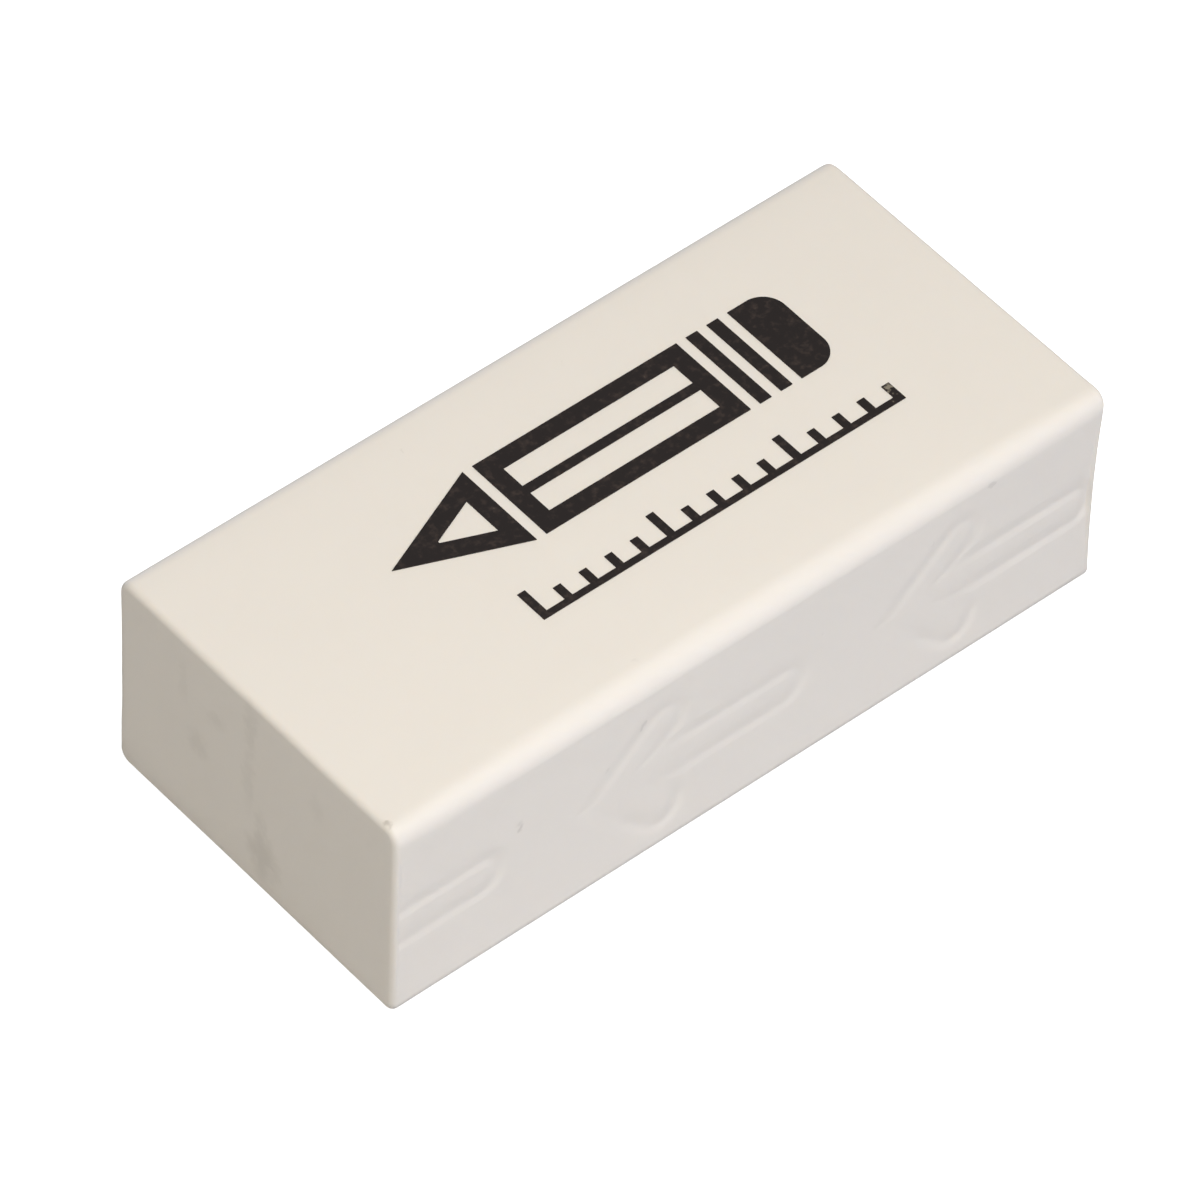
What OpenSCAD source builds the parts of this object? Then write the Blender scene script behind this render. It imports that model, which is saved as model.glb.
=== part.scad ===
// White vinyl eraser: one bar cut to length, arrows pressed into a long side, plain print on top.
// Millimetres. The origin is the middle of the underside, X runs along the length, Z is up,
// and the arrows are on the -Y side, pointing to -X.

/* [Block] */
// Length between the two cut ends, at their rims
block_length = 40.3; // [36:0.1:60]
// Width across the two long sides
block_width = 18.7; // [17.3:0.1:28]
// Height from the underside to the top
block_height = 11.8; // [10.5:0.1:16]

/* [Long edges] */
// Radius of the top edge over the arrows
top_front_radius = 1.3; // [0.5:0.1:1.8]
// Radius of the top edge at the back
top_back_radius = 0.9; // [0.5:0.1:3]
// Radius of the bottom edge under the arrows
bottom_front_radius = 0.5; // [0.3:0.1:0.9]
// Radius of the bottom edge at the back
bottom_back_radius = 0.7; // [0.3:0.1:2]

/* [Hollow faces] */
// How far the middle of the long side with the arrows has sunk under the press
front_hollow = 0.18; // [0.05:0.01:0.4]
// How far the blade leaves the middle of each cut end hollow
end_hollow = 0.08; // [0.03:0.01:0.6]

/* [Pressed arrows] */
// Distance from one arrow to the next
arrow_pitch = 16.7; // [14.5:0.1:24]
// Distance from the left end to the tip of the first whole arrow
first_tip = 10.7; // [9:0.1:14]
// Length of an arrow from its tip to its round tail
arrow_length = 12.3; // [9:0.1:13]
// Height of the arrow head over the outsides of its two arms
head_height = 7.8; // [6.5:0.1:8]
// Angle between the shaft and each arm of the head
head_angle = 45; // [40:1:55]
// Width of the shaft and of the arms, measured between the middles of their grooves
stroke_width = 2; // [1.4:0.05:2.2]
// How far the arrows lie below the middle of the side
arrow_drop = 0.35; // [0:0.05:0.4]
// Width of the pressed groove at the surface
groove_width = 0.6; // [0.4:0.05:0.8]
// Width of the deeper middle of the groove
groove_bed_width = 0.26; // [0.15:0.01:0.35]
// Depth of the pressed groove at its middle
groove_depth = 0.1; // [0.08:0.01:0.4]
// Depth of the groove's shoulders
groove_shoulder_depth = 0.04; // [0.03:0.01:0.075]

/* [Printed pencil] */
// Thickness of the ink
ink_thickness = 0.05; // [0.03:0.01:0.1]
// Distance from the left end to the point of the printed pencil
pencil_start = 9.4; // [3:0.1:11]
// Distance from the back to the middle of the printed pencil
pencil_back = 7.1; // [4.5:0.1:7.6]
// Length of the printed pencil
pencil_length = 23.4; // [18:0.1:24]
// Width of the printed pencil
pencil_width = 5; // [4:0.1:5.5]
// Width of the pencil's outline
outline_width = 0.95; // [0.5:0.05:1.1]
// Width of the line along the pencil's barrel
barrel_line_width = 0.5; // [0.3:0.05:0.7]
// Length of the sharpened wood
cone_length = 6; // [4.5:0.1:7]
// Length of the solid lead point
lead_length = 2.6; // [1.5:0.1:3]
// Bare gap between two printed parts of the pencil
print_gap = 0.55; // [0.3:0.05:0.8]
// Width of one band of the ferrule
band_width = 0.65; // [0.4:0.05:0.8]
// Length of the rubber tip at the pencil's end
cap_length = 2.3; // [1.5:0.1:3]
// Radius of the rubber tip's outer corners
cap_radius = 1.2; // [0.3:0.1:1.4]

/* [Printed scale] */
// Distance from the left end to the first tick
scale_start = 12.7; // [4:0.1:14]
// Distance from the back to the scale's base line
scale_back = 13.3; // [12.6:0.1:14]
// Number of ticks
tick_count = 15; // [5:1:16]
// Distance from one tick to the next
tick_pitch = 1.44; // [1.2:0.01:1.6]
// Width of a tick
tick_width = 0.42; // [0.25:0.01:0.6]
// Height of a long tick over the base line's underside
long_tick = 1.8; // [1.3:0.05:2]
// Height of a short tick over the base line's underside
short_tick = 1.15; // [0.8:0.05:1.25]
// Every tick of this number is a long one
long_every = 5; // [2:1:7]
// Width of the base line
base_line_width = 0.34; // [0.2:0.01:0.5]

/* [Hidden] */
$fn = 64;
// Facets of the very large circles that hollow the faces
hollow_fn = 720;
// Straight steps in each arc of an arrow's outline
arc_steps = 12;
// How far a cutting shape runs past the face that it cuts
clear = 1;
// How far a corner's circle swells past its flats, so that it crosses them at a small angle
corner_swell = 0.003;
left_x = -block_length / 2;
back_y = block_width / 2;
front_y = -block_width / 2;
// The hollow of the front side spans its flat, between the two long edges
front_flat = block_height - top_front_radius - bottom_front_radius;
front_flat_z = bottom_front_radius + front_flat / 2;
front_hollow_radius = dish_radius(front_flat, front_hollow);
front_hollow_y = front_y + front_hollow - front_hollow_radius;
arrow_z = block_height / 2 - arrow_drop;
// An arrow is drawn from its middle lines: two arms and a shaft that meet in one joint
joint_x = stroke_width / 2 / sin(head_angle);
arm_rise = (head_height - stroke_width) / 2;
arm_run = arm_rise / tan(head_angle);
tail_x = arrow_length - stroke_width / 2;
barrel_start = cone_length + print_gap;
ferrule_start = pencil_length - cap_length - 2 * print_gap - 2 * band_width;

// Radius of the arc that is depth deep over a straight of the given length
function dish_radius(span, depth) = span * span / (8 * depth) + depth / 2;

// Points along an arc about a centre, from one angle to another
function arc_points(centre, radius, first, last) = [
    for (i = [0 : arc_steps])
        let (angle = first + (last - first) * i / arc_steps)
            centre + radius * [cos(angle), sin(angle)]
];

// One rounded corner of the section, as the sliver that is taken off a square corner
module corner_sliver(radius) {
    difference() {
        translate([-clear, -clear])
            square([radius + clear, radius + clear]);
        translate([radius, radius])
            circle(radius + corner_swell);
    }
}

// Section across the bar: Y to the right, Z up
module bar_section() {
    difference() {
        translate([front_y, 0])
            square([block_width, block_height]);
        translate([front_y, 0])
            corner_sliver(bottom_front_radius);
        translate([back_y, 0])
            mirror([1, 0])
                corner_sliver(bottom_back_radius);
        translate([front_y, block_height])
            mirror([0, 1])
                corner_sliver(top_front_radius);
        translate([back_y, block_height])
            mirror([1, 0])
                mirror([0, 1])
                    corner_sliver(top_back_radius);
        translate([front_hollow_y, front_flat_z])
            circle(front_hollow_radius, $fn = hollow_fn);
    }
}

// The bar as it leaves the die, longer than the eraser
module bar() {
    rotate([90, 0, 90])
        linear_extrude(block_length + 2 * clear, center = true)
            bar_section();
}

// Outline of the eraser from the side, with the hollow that the blade leaves in each end
module cut_outline() {
    blade_radius = dish_radius(block_height, end_hollow);
    difference() {
        translate([left_x, 0])
            square([block_length, block_height]);
        for (end = [0, 1])
            mirror([end, 0])
                translate([left_x + end_hollow - blade_radius, block_height / 2])
                    circle(blade_radius, $fn = hollow_fn);
    }
}

// Outline of one arrow whose strokes are half_width to each side of their middle lines
module arrow_outline(half_width) {
    mitre = half_width / sin(head_angle);
    crotch_x = mitre + half_width / tan(head_angle);
    upper_half = concat(
        [[-mitre, 0]],
        arc_points([arm_run, arm_rise], half_width, head_angle + 90, head_angle - 90),
        [[crotch_x, half_width]],
        arc_points([tail_x - joint_x, 0], half_width, 90, 0)
    );
    lower_half = [for (i = [len(upper_half) - 2 : -1 : 1]) [upper_half[i][0], -upper_half[i][1]]];
    translate([joint_x, 0])
        polygon(concat(upper_half, lower_half));
}

// Grooves round every arrow, sunk to one depth below the hollow side
module arrow_grooves(width, depth) {
    intersection() {
        for (tip = [first_tip - arrow_pitch : arrow_pitch : block_length])
            translate([left_x + tip, front_y + clear, arrow_z])
                rotate([90, 0, 0])
                    linear_extrude(2 * clear)
                        difference() {
                            arrow_outline((stroke_width + width) / 2);
                            arrow_outline((stroke_width - width) / 2);
                        }
        translate([0, front_hollow_y, front_flat_z])
            rotate([0, 90, 0])
                cylinder(
                    h = block_length + 2 * clear,
                    r = front_hollow_radius + depth,
                    center = true,
                    $fn = hollow_fn
                );
    }
}

// The eraser itself: the bar, cut to length and pressed
module eraser_block() {
    color("#E9E1D7")
        difference() {
            intersection() {
                bar();
                translate([0, back_y + clear, 0])
                    rotate([90, 0, 0])
                        linear_extrude(block_width + 2 * clear)
                            cut_outline();
            }
            arrow_grooves(groove_width, groove_shoulder_depth);
            arrow_grooves(groove_bed_width, groove_depth);
        }
}

// Sharpened end of the printed pencil, with its point at the origin
module printed_cone() {
    half = pencil_width / 2;
    slope = atan(half / cone_length);
    inner_tip = outline_width / sin(slope);
    inner_end = cone_length - outline_width;
    difference() {
        polygon([[0, 0], [cone_length, half], [cone_length, -half]]);
        polygon([
            [inner_tip, 0],
            [inner_end, (inner_end - inner_tip) * tan(slope)],
            [inner_end, -(inner_end - inner_tip) * tan(slope)]
        ]);
    }
    polygon([[0, 0], [lead_length, lead_length * tan(slope)], [lead_length, -lead_length * tan(slope)]]);
}

// Barrel of the printed pencil: an outline and one line along its middle
module printed_barrel() {
    length = ferrule_start - print_gap - barrel_start;
    translate([barrel_start, -pencil_width / 2])
        difference() {
            square([length, pencil_width]);
            translate([outline_width, outline_width])
                square([length - 2 * outline_width, pencil_width - 2 * outline_width]);
        }
    translate([barrel_start, -barrel_line_width / 2])
        square([length, barrel_line_width]);
}

// Two bands and the rubber tip at the end of the printed pencil
module printed_end() {
    for (band = [0, 1])
        translate([ferrule_start + band * (band_width + print_gap), -pencil_width / 2])
            square([band_width, pencil_width]);
    translate([pencil_length - cap_length, -pencil_width / 2])
        difference() {
            square([cap_length, pencil_width]);
            translate([cap_length, 0])
                mirror([1, 0])
                    corner_sliver(cap_radius);
            translate([cap_length, pencil_width])
                mirror([1, 0])
                    mirror([0, 1])
                        corner_sliver(cap_radius);
        }
}

// Row of ticks standing on a base line
module printed_scale() {
    square([(tick_count - 1) * tick_pitch + tick_width, base_line_width]);
    for (tick = [0 : tick_count - 1])
        translate([tick * tick_pitch, 0])
            square([tick_width, tick % long_every == 0 ? long_tick : short_tick]);
}

// The black ink that lies on the top
module top_print() {
    color("#2B2524")
        translate([left_x, back_y, block_height])
            linear_extrude(ink_thickness) {
                translate([pencil_start, -pencil_back]) {
                    printed_cone();
                    printed_barrel();
                    printed_end();
                }
                translate([scale_start, -scale_back])
                    printed_scale();
            }
}

eraser_block();
top_print();
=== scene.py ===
import math

import bmesh
import bpy
from mathutils import Matrix, Vector, noise


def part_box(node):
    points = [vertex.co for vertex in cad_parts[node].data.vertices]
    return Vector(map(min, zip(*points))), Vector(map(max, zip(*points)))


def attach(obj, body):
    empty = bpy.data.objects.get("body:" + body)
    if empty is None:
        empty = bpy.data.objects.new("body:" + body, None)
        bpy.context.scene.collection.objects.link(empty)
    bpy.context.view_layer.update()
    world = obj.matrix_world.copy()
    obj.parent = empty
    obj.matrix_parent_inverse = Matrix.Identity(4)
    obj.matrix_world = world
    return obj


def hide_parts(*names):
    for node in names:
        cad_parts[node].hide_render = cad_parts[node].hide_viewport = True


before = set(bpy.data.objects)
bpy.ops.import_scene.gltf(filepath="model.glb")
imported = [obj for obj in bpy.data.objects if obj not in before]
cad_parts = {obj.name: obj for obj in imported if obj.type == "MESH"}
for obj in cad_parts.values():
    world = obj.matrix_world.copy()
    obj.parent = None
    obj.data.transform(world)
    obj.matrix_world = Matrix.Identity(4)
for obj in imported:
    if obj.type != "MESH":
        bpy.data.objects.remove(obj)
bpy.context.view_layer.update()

# The eraser is one bar of white PVC vinyl, extruded, then cut to length with a blade. Its long edges
# are soft from the die, its cut edges are almost sharp, and the side with the arrows has sunk a
# little under the press that marked it.
MM = 0.001
low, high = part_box("eraser_block")
length, width, height = high - low
FRONT, BACK, BOTTOM, TOP = low.y, high.y, low.z, high.z
LONG_EDGES = {
    "top front": (FRONT, TOP, 1.2 * MM),
    "top back": (BACK, TOP, 0.9 * MM),
    "bottom back": (BACK, BOTTOM, 0.7 * MM),
    "bottom front": (FRONT, BOTTOM, 0.5 * MM),
}
EDGE_STEPS = 8
TOP_FRONT_FLATTENED = 0.88
TIGHTER_AT_ENDS = 0.18 * MM
TIGHTER_POWER = 4
CUT_EDGE_RADII = {-1: 0.36 * MM, 1: 0.24 * MM}
CUT_EDGE_STEPS = 5
CAP_RINGS = (0.97, 0.92, 0.86, 0.8, 0.7, 0.6, 0.45, 0.3, 0.15)
ROWS = {"front": 96, "top": 12, "back": 6, "bottom": 8}
COLUMNS = 320
FRONT_HOLLOW = 0.17 * MM
LEFT_HOLLOW = 0.02 * MM
RIGHT_HOLLOW = 0.2 * MM
CUT_LIP = 0.07 * MM
LIP_HEIGHT = 1.5 * MM
LIP_REACH = 1.2 * MM
CUT_WAVE = 0.03 * MM
CUT_WAVE_SIZE = 2.5 * MM
CUT_POWER = 12
NEAR = 0.001 * MM
FACE_TESTS = {
    "front": lambda co: abs(co.y - FRONT) < NEAR,
    "top": lambda co: abs(co.z - TOP) < NEAR,
    "back": lambda co: abs(co.y - BACK) < NEAR,
    "bottom": lambda co: abs(co.z - BOTTOM) < NEAR,
}


def edges_where(mesh, test):
    """The edges of a mesh whose two ends both pass a test."""
    return [edge for edge in mesh.edges if all(test(vert.co) for vert in edge.verts)]


block_mesh = bmesh.new()
bmesh.ops.create_cube(block_mesh, size=1)
bmesh.ops.translate(block_mesh, vec=(0.5, 0.5, 0.5), verts=block_mesh.verts)
bmesh.ops.scale(
    block_mesh, vec=(length - sum(CUT_EDGE_RADII.values()), width, height), verts=block_mesh.verts,
)
bmesh.ops.translate(block_mesh, vec=low + Vector((CUT_EDGE_RADII[-1], 0, 0)), verts=block_mesh.verts)
for edge_y, edge_z, radius in LONG_EDGES.values():
    bmesh.ops.bevel(
        block_mesh,
        geom=edges_where(block_mesh, lambda co: abs(co.y - edge_y) < NEAR and abs(co.z - edge_z) < NEAR),
        offset=radius,
        segments=EDGE_STEPS,
        profile=0.5,
        affect="EDGES",
        material=-1,
    )
# The arc of the top edge over the arrows reaches a little less far down than in.
at_top_front = [
    vert for vert in block_mesh.verts
    if vert.co.y < FRONT + LONG_EDGES["top front"][2] + NEAR
    and vert.co.z > TOP - LONG_EDGES["top front"][2] - NEAR
]
bmesh.ops.scale(
    block_mesh, vec=(1, 1, TOP_FRONT_FLATTENED),
    space=Matrix.Translation((0, 0, -TOP)), verts=at_top_front,
)
for face_name, on_face in FACE_TESTS.items():
    short_edges = [edge for edge in edges_where(block_mesh, on_face) if edge.calc_length() < length / 2]
    bmesh.ops.subdivide_edges(
        block_mesh, edges=short_edges, cuts=ROWS[face_name] - 1, use_grid_fill=True,
    )

# Each cut end turns over its small round edge and is then closed in shrinking rings.
for side, cut_radius in CUT_EDGE_RADII.items():
    cap = max((face for face in block_mesh.faces if face.normal.x * side > 0.9),
              key=lambda face: face.calc_area())
    inset = rise = 0
    for step in range(1, CUT_EDGE_STEPS + 1):
        angle = math.radians(90 * step / CUT_EDGE_STEPS)
        new_inset = cut_radius * (1 - math.cos(angle))
        new_rise = cut_radius * math.sin(angle)
        bmesh.ops.inset_region(
            block_mesh, faces=[cap], thickness=new_inset - inset, depth=new_rise - rise,
            use_even_offset=True, use_boundary=True,
        )
        inset, rise = new_inset, new_rise
    to_middle = Matrix.Translation((0, 0, -(BOTTOM + TOP) / 2))
    ring_before = 1
    for ring in CAP_RINGS:
        cap = bmesh.ops.extrude_discrete_faces(block_mesh, faces=[cap])["faces"][0]
        shrink = ring / ring_before
        bmesh.ops.scale(block_mesh, vec=(1, shrink, shrink), space=to_middle, verts=cap.verts)
        ring_before = ring
    bmesh.ops.poke(block_mesh, faces=[cap])
long_edges = [edge for edge in block_mesh.edges if edge.calc_length() > length / 2]
bmesh.ops.subdivide_edges(block_mesh, edges=long_edges, cuts=COLUMNS - 1, use_grid_fill=True)

# The arrows are pressed outlines, soft valleys that fade where the press touched lightly, and the
# press slipped down a little as it sank. Each is drawn about the middle lines of its arms and shaft.
ARROW_PITCH = 16.95 * MM
ARROW_PRESS = {-1: 1.1, 0: 1.0, 1: 1.35}
FIRST_TIP = low.x + 10.9 * MM
ARROW_LENGTH = 12.1 * MM
HEAD_HEIGHT = 7.5 * MM
HEAD_ANGLE = math.radians(45)
HALF_STROKE = 1.0 * MM
STROKE_BLEND = 0.5 * MM
ARROW_Z = (BOTTOM + TOP) / 2 - 0.47 * MM
GROOVE_REACH = 0.68 * MM
GROOVE_DEPTH = 0.06 * MM
PRESS_SLIP = 0.12 * MM
UPPER_ARM_PRESS = 0.9
LOWER_ARM_PRESS = 0.5
LOWER_ARM_END_PRESS = 1.4
LOWER_ARM_FADE = 0.7
HEAD_SHAFT_PRESS = 0.4
SHAFT_PRESS = 0.9
TAIL_PRESS = 1.2
SHAFT_FADE = (4 * MM, 7 * MM)
TAIL_FADE = 1.5 * MM
meeting = Vector((HALF_STROKE / math.sin(HEAD_ANGLE), 0))
arm_rise = HEAD_HEIGHT / 2 - HALF_STROKE
arm_end = meeting + Vector((arm_rise / math.tan(HEAD_ANGLE), arm_rise))
tail = Vector((ARROW_LENGTH - HALF_STROKE, 0))
outward = Vector((-math.sin(HEAD_ANGLE), math.cos(HEAD_ANGLE)))


def stroke_distance(place, start, end):
    """How far a place lies from the straight stroke between two points."""
    along = end - start
    share = min(max((place - start).dot(along) / along.length_squared, 0), 1)
    return (place - start - share * along).length


def smooth_share(value, start, end):
    """How far a value has gone from start to end, as a smooth share between 0 and 1."""
    share = min(max((value - start) / (end - start), 0), 1)
    return share * share * (3 - 2 * share)


def groove_share(x, z):
    """How deep the pressed grooves are at a place on the front side, as a share of their depth."""
    deepest = 0
    for number, arrow_press in ARROW_PRESS.items():
        place = Vector((x - FIRST_TIP - number * ARROW_PITCH, abs(z - ARROW_Z)))
        if place.x < -2 * GROOVE_REACH or place.x > ARROW_LENGTH + 2 * GROOVE_REACH:
            continue
        from_meeting = place - meeting
        if from_meeting.dot(arm_end - meeting) < 0:
            arm = max(from_meeting.dot(outward), 0)
        else:
            arm = stroke_distance(place, meeting, arm_end)
        shaft = stroke_distance(place, meeting, tail)
        off_line = abs(min(arm, shaft) - HALF_STROKE)
        if off_line > GROOVE_REACH:
            continue
        of_shaft = smooth_share(arm - shaft, -STROKE_BLEND, STROKE_BLEND)
        past_head = smooth_share(place.x, *SHAFT_FADE)
        at_tail = smooth_share(place.x, ARROW_LENGTH - TAIL_FADE, ARROW_LENGTH)
        on_shaft = HEAD_SHAFT_PRESS + (SHAFT_PRESS - HEAD_SHAFT_PRESS) * past_head
        on_shaft += (TAIL_PRESS - SHAFT_PRESS) * at_tail
        at_arm_end = smooth_share(place.y, LOWER_ARM_FADE * arm_rise, arm_rise)
        on_arm = LOWER_ARM_PRESS + (LOWER_ARM_END_PRESS - LOWER_ARM_PRESS) * at_arm_end
        if z > ARROW_Z:
            on_arm = UPPER_ARM_PRESS
        press = on_arm + (arrow_press * on_shaft - on_arm) * of_shaft
        deepest = max(deepest, press * (1 + math.cos(math.pi * off_line / GROOVE_REACH)) / 2)
    return deepest


# The side with the arrows and the cut ends sink in a little, and the top edge over the arrows is
# softer at its middle than near the ends.
front_edge_top = LONG_EDGES["top front"][2] * TOP_FRONT_FLATTENED
front_edge_bottom = LONG_EDGES["bottom front"][2]
flat_middle = (BOTTOM + front_edge_bottom + TOP - front_edge_top) / 2
flat_half = (height - front_edge_bottom - front_edge_top) / 2
for vert in block_mesh.verts:
    x, y, z = vert.co
    if abs(y - FRONT) < NEAR:
        across = (z - flat_middle) / flat_half
        pressed = groove_share(x, z + PRESS_SLIP * groove_share(x, z))
        vert.co.y += FRONT_HOLLOW * max(1 - across ** 2, 0) + GROOVE_DEPTH * pressed
    from_corner = Vector((FRONT + LONG_EDGES["top front"][2] - y, z - TOP + front_edge_top))
    if from_corner.x > 0 and from_corner.y > 0:
        near_end = (2 * abs(x) / length) ** TIGHTER_POWER
        push = TIGHTER_AT_ENDS * near_end * math.sin(2 * math.atan2(from_corner.y, from_corner.x)) ** 2
        vert.co.y -= push * from_corner.normalized().x
        vert.co.z += push * from_corner.normalized().y
    up = 2 * (z - BOTTOM) / height - 1
    at_end = (2 * abs(x) / length) ** CUT_POWER
    wave = noise.noise(Vector((x, y, z)) / CUT_WAVE_SIZE) + 1
    if x < 0:
        lip = smooth_share(y, 0, BACK) * math.exp(-((z - BOTTOM - LIP_HEIGHT) / LIP_REACH) ** 2)
        cut_in = LEFT_HOLLOW * (1 - up ** 2) + (CUT_LIP + CUT_WAVE * wave / 2) * (1 - lip)
    else:
        cut_in = RIGHT_HOLLOW * (1 - up ** 2) + CUT_WAVE * wave / 2
    vert.co.x -= math.copysign(at_end * cut_in, x)

block_data = bpy.data.meshes.new("vinyl_block")
block_mesh.to_mesh(block_data)
block_mesh.free()
block_data.shade_smooth()
block = bpy.data.objects.new("vinyl_block", block_data)
bpy.context.scene.collection.objects.link(block)


def linear(hex_colour):
    """An sRGB hex colour as a linear colour with alpha."""
    channels = [int(hex_colour[i:i + 2], 16) / 255 for i in (1, 3, 5)]
    return [c / 12.92 if c <= 0.04045 else ((c + 0.055) / 1.055) ** 2.4 for c in channels] + [1]


def add_node(tree, kind, inputs=None, **settings):
    """Adds a node with its settings, and links or sets its inputs."""
    node = tree.nodes.new(kind)
    for name, value in settings.items():
        setattr(node, name, value)
    for name, value in (inputs or {}).items():
        if isinstance(value, bpy.types.NodeSocket):
            tree.links.new(value, node.inputs[name])
        else:
            node.inputs[name].default_value = value
    return node


# White PVC vinyl: it scatters light a little under its skin, which is smooth with a soft satin sheen.
# Handling has left a few dark specks. Painted shade darkens the colour towards the underside and most
# along the bottom front edge, and the cut end has darker patches, mostly painted shade of a shallow
# crease and dents.
VINYL_COLOURS = ("#E8E2D9", "#EAE4DB")
MOTTLE_SIZE = 6 * MM
SKIN_GRAIN = 0.25 * MM
SKIN_DEPTH = 0.01 * MM
GRIME_AND_SHADE = "#8A8378"
MARK_EDGE = 1.4
MARK_CORE = 0.3
BEND_SIZE = 0.6 * MM
BEND_REACH = 0.45 * MM
# Painted shade: a grey mixed into the vinyl towards the underside and along the bottom front edge.
PAINTED_SHADE_COLOUR = "#828184"
PAINTED_SHADE_HEIGHT = 11 * MM
PAINTED_SHADE_SHARE = 0.07
PAINTED_SHADE_LINE = 0.65 * MM
PAINTED_SHADE_LINE_SHARE = 0.5

# Each mark is a soft darker ellipsoid, grime on the side and top, painted shade on the cut end: its
# middle from the left end, the back and the top in millimetres, then its three radii and how dark it
# is. ON_SIDE is the side with the arrows.
ON_SIDE = width / MM
MARKS = (
    (7.1, ON_SIDE, 4.7, 0.2, 0.5, 0.3, 0.25),
    (13.8, ON_SIDE, 3.0, 0.16, 0.5, 0.2, 0.18),
    (12.1, ON_SIDE, 4.55, 0.15, 0.5, 0.18, 0.1),
    (33.65, ON_SIDE, 1.25, 0.18, 0.5, 0.18, 0.17),
    (30.45, ON_SIDE, 2.8, 0.1, 0.5, 0.14, 0.1),
    (24.3, ON_SIDE, 4.4, 0.08, 0.5, 0.12, 0.08),
    (14.15, 2.0, 0, 0.12, 0.12, 0.5, 0.08),
    (22.8, 2.45, 0, 0.14, 0.1, 0.5, 0.05),
    (14.15, 17.5, 0, 0.1, 0.1, 0.5, 0.07),
    (0.3, 17.9, 0.1, 0.17, 0.18, 0.3, 0.42),
    # On the cut end, 0 from the left: painted shade of a shallow crease and dents, as darker patches in
    # the colour.
    (0, 9.0, 1.8, 0.4, 0.42, 1.8, 0.1),
    (0, 8.9, 5.2, 0.4, 0.44, 1.9, 0.08),
    (0, 9.9, 9.5, 0.4, 1.1, 1.4, 0.2),
    (0, 9.7, 7.7, 0.4, 0.4, 1.1, 0.1),
    (0, 5.4, 6.1, 0.4, 0.7, 0.8, 0.1),
    (0, 6.7, 3.4, 0.4, 0.7, 0.5, 0.08),
    (0, 4.5, 2.8, 0.4, 0.3, 1.3, 0.05),
    (0, 13.4, 3.0, 0.4, 0.5, 1.0, 0.05),
)
vinyl = bpy.data.materials.new("extruded_white_vinyl")
vinyl.use_nodes = True
tree = vinyl.node_tree
tree.nodes.clear()
where = add_node(tree, "ShaderNodeTexCoord").outputs["Object"]
mottle = add_node(tree, "ShaderNodeTexNoise", {"Vector": where, "Scale": 1 / MOTTLE_SIZE, "Detail": 3})
skin = add_node(tree, "ShaderNodeTexNoise", {"Vector": where, "Scale": 1 / SKIN_GRAIN, "Detail": 2})
colour = add_node(
    tree, "ShaderNodeMix",
    {"Factor": mottle.outputs["Fac"], "A": linear(VINYL_COLOURS[0]), "B": linear(VINYL_COLOURS[1])},
    data_type="RGBA",
).outputs["Result"]

# A noise bends the ellipsoids, so that no mark is a clean oval.
bend = add_node(tree, "ShaderNodeTexNoise", {"Vector": where, "Scale": 1 / BEND_SIZE, "Detail": 2})
bend_by = add_node(
    tree, "ShaderNodeVectorMath",
    {0: bend.outputs["Color"], 1: (2 * BEND_REACH,) * 3, 2: (-BEND_REACH,) * 3},
    operation="MULTIPLY_ADD",
)
bent = add_node(
    tree, "ShaderNodeVectorMath",
    {0: where, 1: bend_by.outputs["Vector"]},
    operation="ADD",
).outputs["Vector"]
for from_left, from_back, from_top, reach_x, reach_y, reach_z, darkness in MARKS:
    middle = Vector((low.x + from_left * MM, high.y - from_back * MM, high.z - from_top * MM))
    reach = Vector((reach_x, reach_y, reach_z)) * MM
    scaled = add_node(
        tree, "ShaderNodeVectorMath",
        {
            0: bent,
            1: [1 / r for r in reach],
            2: [-m / r for m, r in zip(middle, reach)],
        },
        operation="MULTIPLY_ADD",
    )
    off_middle = add_node(
        tree, "ShaderNodeVectorMath", {0: scaled.outputs["Vector"]}, operation="LENGTH",
    )
    mark = add_node(
        tree, "ShaderNodeMapRange",
        {
            "Value": off_middle.outputs["Value"],
            "From Min": MARK_EDGE,
            "From Max": MARK_CORE,
            "To Max": darkness,
        },
        interpolation_type="SMOOTHSTEP",
    )
    colour = add_node(
        tree, "ShaderNodeMix",
        {"Factor": mark.outputs["Result"], "A": colour, "B": linear(GRIME_AND_SHADE)},
        data_type="RGBA",
    ).outputs["Result"]

# Painted shade: the colour darkens towards the underside, and most along the bottom edge under the
# arrows, in place of the floor's contact shade.
up_side = add_node(tree, "ShaderNodeSeparateXYZ", {"Vector": where}).outputs["Z"]
in_section = add_node(
    tree, "ShaderNodeVectorMath", {0: where, 1: (0, 1, 1)}, operation="MULTIPLY",
).outputs["Vector"]
off_line = add_node(
    tree, "ShaderNodeVectorMath", {0: in_section, 1: (0, FRONT, BOTTOM)}, operation="DISTANCE",
).outputs["Value"]
for off_painted_shade, painted_shade_reach, painted_shade_share in (
    (up_side, PAINTED_SHADE_HEIGHT, PAINTED_SHADE_SHARE),
    (off_line, PAINTED_SHADE_LINE, PAINTED_SHADE_LINE_SHARE),
):
    painted_shade = add_node(
        tree, "ShaderNodeMapRange",
        {"Value": off_painted_shade, "From Min": painted_shade_reach, "From Max": 0, "To Max": painted_shade_share},
    )
    colour = add_node(
        tree, "ShaderNodeMix",
        {"Factor": painted_shade.outputs["Result"], "A": colour, "B": linear(PAINTED_SHADE_COLOUR)},
        data_type="RGBA",
    ).outputs["Result"]
bump = add_node(
    tree, "ShaderNodeBump",
    {"Height": skin.outputs["Fac"], "Distance": SKIN_DEPTH, "Strength": 0.3},
)
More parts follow.
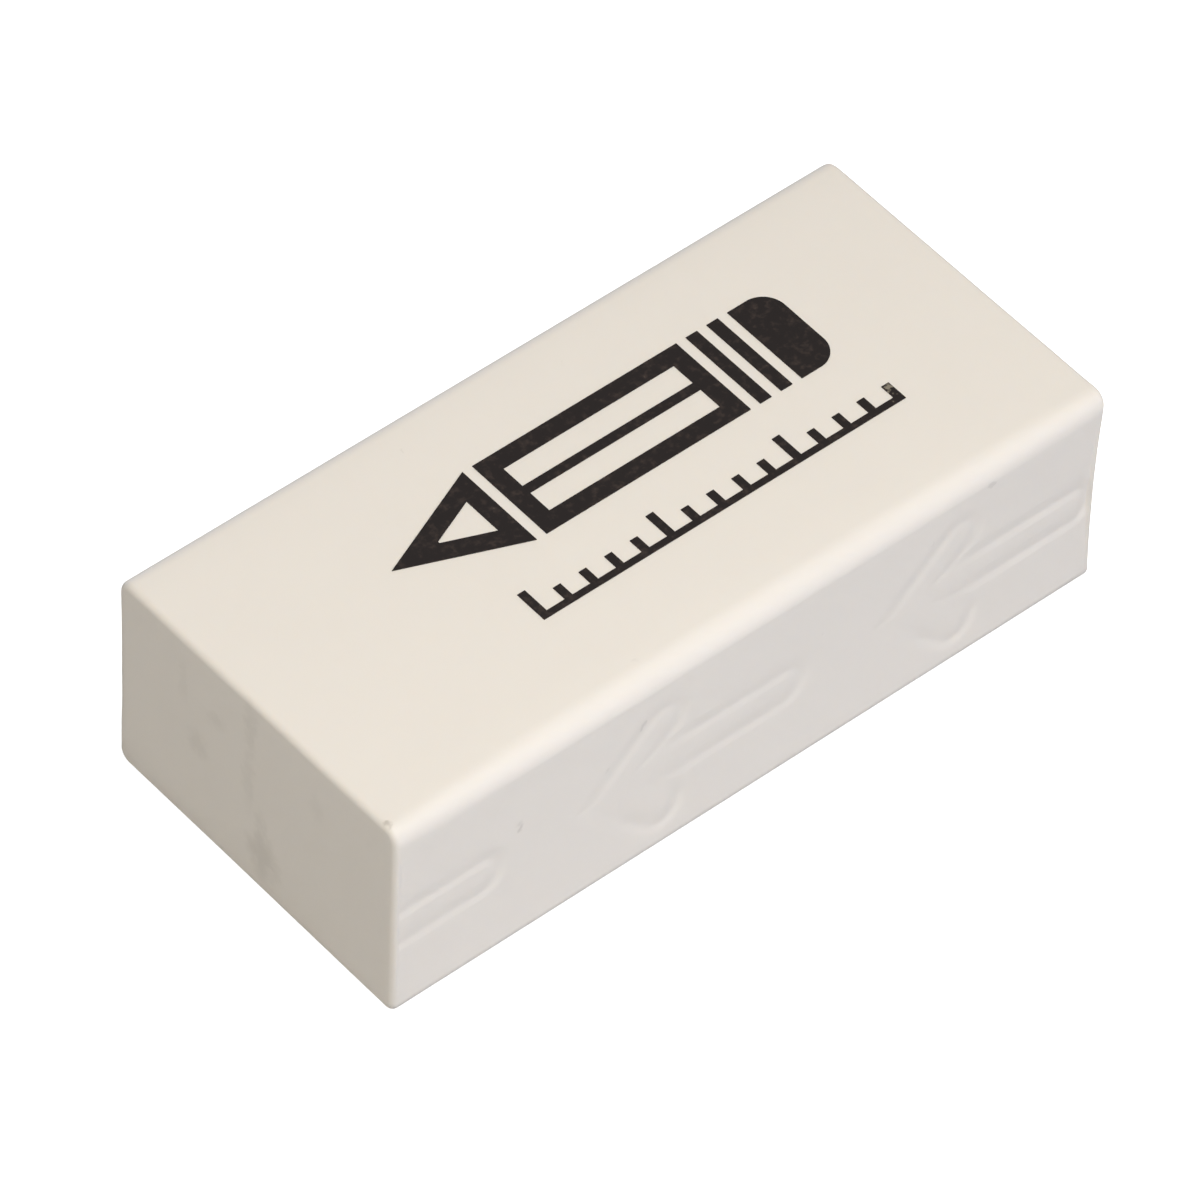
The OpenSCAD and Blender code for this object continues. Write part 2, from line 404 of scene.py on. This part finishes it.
shader = add_node(
    tree, "ShaderNodeBsdfPrincipled",
    {
        "Base Color": colour,
        "Roughness": 0.6,
        "IOR": 1.45,
        "Subsurface Weight": 0.15,
        "Subsurface Radius": (1.0, 0.8, 0.6),
        "Subsurface Scale": 0.3 * MM,
        "Normal": bump.outputs["Normal"],
    },
)
add_node(tree, "ShaderNodeOutputMaterial", {"Surface": shader.outputs["BSDF"]})
block_data.materials.append(vinyl)
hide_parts("eraser_block")
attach(block, "root")

# The print is one pass of black pad ink, matt with a slight gloss, lying on the top as a thin film.
# It has taken unevenly in fine flecks, and the last tick is rubbed.
INK_COLOURS = ("#1D1615", "#3E332E")
SCRAPS = "#877F70"
FLECK_SIZE = 0.3 * MM
RUBBED_PLACE = Vector((low.x + 33.1 * MM, high.y - 12.3 * MM, high.z))
RUBBED_REACH = 1.6 * MM
RUB_STRENGTH = 0.28
ink = bpy.data.materials.new("black_pad_ink")
ink.use_nodes = True
tree = ink.node_tree
tree.nodes.clear()
where = add_node(tree, "ShaderNodeTexCoord").outputs["Object"]
flecks = add_node(tree, "ShaderNodeTexNoise", {"Vector": where, "Scale": 1 / FLECK_SIZE, "Detail": 4})
fleck_mask = add_node(
    tree, "ShaderNodeMapRange",
    {"Value": flecks.outputs["Fac"], "From Min": 0.52, "From Max": 0.8},
)
flecked = add_node(
    tree, "ShaderNodeMix",
    {"Factor": fleck_mask.outputs["Result"], "A": linear(INK_COLOURS[0]), "B": linear(INK_COLOURS[1])},
    data_type="RGBA",
)

# Where the tick is rubbed, scraps of the ink have come off and the vinyl under them looks dirty.
off_rub = add_node(
    tree, "ShaderNodeVectorMath", {0: where, 1: RUBBED_PLACE}, operation="DISTANCE",
)
rub = add_node(
    tree, "ShaderNodeMapRange",
    {
        "Value": off_rub.outputs["Value"],
        "From Min": 0,
        "From Max": RUBBED_REACH,
        "To Min": RUB_STRENGTH,
        "To Max": 0,
    },
)
scraps = add_node(
    tree, "ShaderNodeMath",
    {0: flecks.outputs["Fac"], 1: rub.outputs["Result"]},
    operation="ADD",
)
scrap_mask = add_node(
    tree, "ShaderNodeMapRange",
    {"Value": scraps.outputs["Value"], "From Min": 0.74, "From Max": 0.84},
)
ink_colour = add_node(
    tree, "ShaderNodeMix",
    {"Factor": scrap_mask.outputs["Result"], "A": flecked.outputs["Result"], "B": linear(SCRAPS)},
    data_type="RGBA",
)
shader = add_node(
    tree, "ShaderNodeBsdfPrincipled",
    {"Base Color": ink_colour.outputs["Result"], "Roughness": 0.5, "IOR": 1.45},
)
add_node(tree, "ShaderNodeOutputMaterial", {"Surface": shader.outputs["BSDF"]})
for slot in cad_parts["top_print"].material_slots:
    slot.material = ink

# The floor is a plain sheet of white paper, so brightly lit that the camera sees almost no shadow on
# it. What it throws back on the eraser is dimmer.
FLOOR_SIZE = 3
FLOOR_GLOW = 0.9
PAPER_COLOURS = ("#D2D1CF", "#D6D5D3")
FIBRE_SIZE = 8 * MM
sheet_mesh = bmesh.new()
bmesh.ops.create_grid(sheet_mesh, x_segments=1, y_segments=1, size=FLOOR_SIZE / 2)
floor_data = bpy.data.meshes.new("floor")
sheet_mesh.to_mesh(floor_data)
sheet_mesh.free()
floor = bpy.data.objects.new("floor", floor_data)
bpy.context.scene.collection.objects.link(floor)
paper = bpy.data.materials.new("white_paper")
paper.use_nodes = True
tree = paper.node_tree
tree.nodes.clear()
where = add_node(tree, "ShaderNodeTexCoord").outputs["Object"]
fibre = add_node(tree, "ShaderNodeTexNoise", {"Vector": where, "Scale": 1 / FIBRE_SIZE, "Detail": 2})
paper_colour = add_node(
    tree, "ShaderNodeMix",
    {"Factor": fibre.outputs["Fac"], "A": linear(PAPER_COLOURS[0]), "B": linear(PAPER_COLOURS[1])},
    data_type="RGBA",
)
ray = add_node(tree, "ShaderNodeLightPath")
lift = add_node(
    tree, "ShaderNodeMath",
    {0: ray.outputs["Is Camera Ray"], 1: FLOOR_GLOW},
    operation="MULTIPLY",
)
shader = add_node(
    tree, "ShaderNodeBsdfPrincipled",
    {
        "Base Color": paper_colour.outputs["Result"],
        "Roughness": 0.9,
        "Specular IOR Level": 0.1,
        "Emission Color": linear("#FFFFFF"),
        "Emission Strength": lift.outputs["Value"],
    },
)
add_node(tree, "ShaderNodeOutputMaterial", {"Surface": shader.outputs["BSDF"]})
floor_data.materials.append(paper)

# The light is a dim white room with one large softbox high in front of the eraser, to its left, a
# weak cool one low in front that lights the side with the arrows, and one low behind for its back.
ROOM_COLOUR = "#FFFCF7"
ROOM_STRENGTH = 0.305

# Each light has its place and size in metres, its power in watts and its colour.
LIGHTS = {
    "key": ((-0.0455, -0.134, 0.2634), 0.16, 0.722, "#FFFCF7"),
    "front": ((0.24, -0.6, 0.08), 0.3, 0.76, "#72A9FF"),
    "back": ((0.15, 0.6, 0.03), 0.12, 1.0, "#C8DAFF"),
}
world = bpy.data.worlds.new("white_room")
bpy.context.scene.world = world
world.use_nodes = True
world.node_tree.nodes["Background"].inputs["Color"].default_value = linear(ROOM_COLOUR)
world.node_tree.nodes["Background"].inputs["Strength"].default_value = ROOM_STRENGTH
for light_name, (place, size, power, tint) in LIGHTS.items():
    lamp = bpy.data.lights.new(light_name, "AREA")
    lamp.shape = "SQUARE"
    lamp.size = size
    lamp.energy = power
    lamp.color = linear(tint)[:3]
    softbox = bpy.data.objects.new(light_name, lamp)
    softbox.location = place
    softbox.rotation_euler = (-Vector(place)).to_track_quat("-Z", "Y").to_euler()
    bpy.context.scene.collection.objects.link(softbox)

# The camera stands where the photograph was taken, found from the block's outline: above the left
# front corner, far off, with a long lens.
CAMERA_PLACE = Vector((-186.244, -203.631, 316.167)) * MM
CAMERA_TARGET = Vector((-1.3415, -0.7044, 5.9)) * MM
CAMERA_ROLL = math.radians(2.7161)
SENSOR = 36
FOCAL_SHARE = 7.939
lens = bpy.data.cameras.new("camera")
lens.sensor_width = SENSOR
lens.lens = FOCAL_SHARE * SENSOR
lens.clip_start = 0.01
camera = bpy.data.objects.new("camera", lens)
camera.location = CAMERA_PLACE
aim = (CAMERA_TARGET - CAMERA_PLACE).to_track_quat("-Z", "Y")
camera.rotation_euler = (aim.to_matrix() @ Matrix.Rotation(CAMERA_ROLL, 3, "Z")).to_euler()
bpy.context.scene.collection.objects.link(camera)
bpy.context.scene.camera = camera
bpy.context.scene.view_settings.view_transform = "Standard"
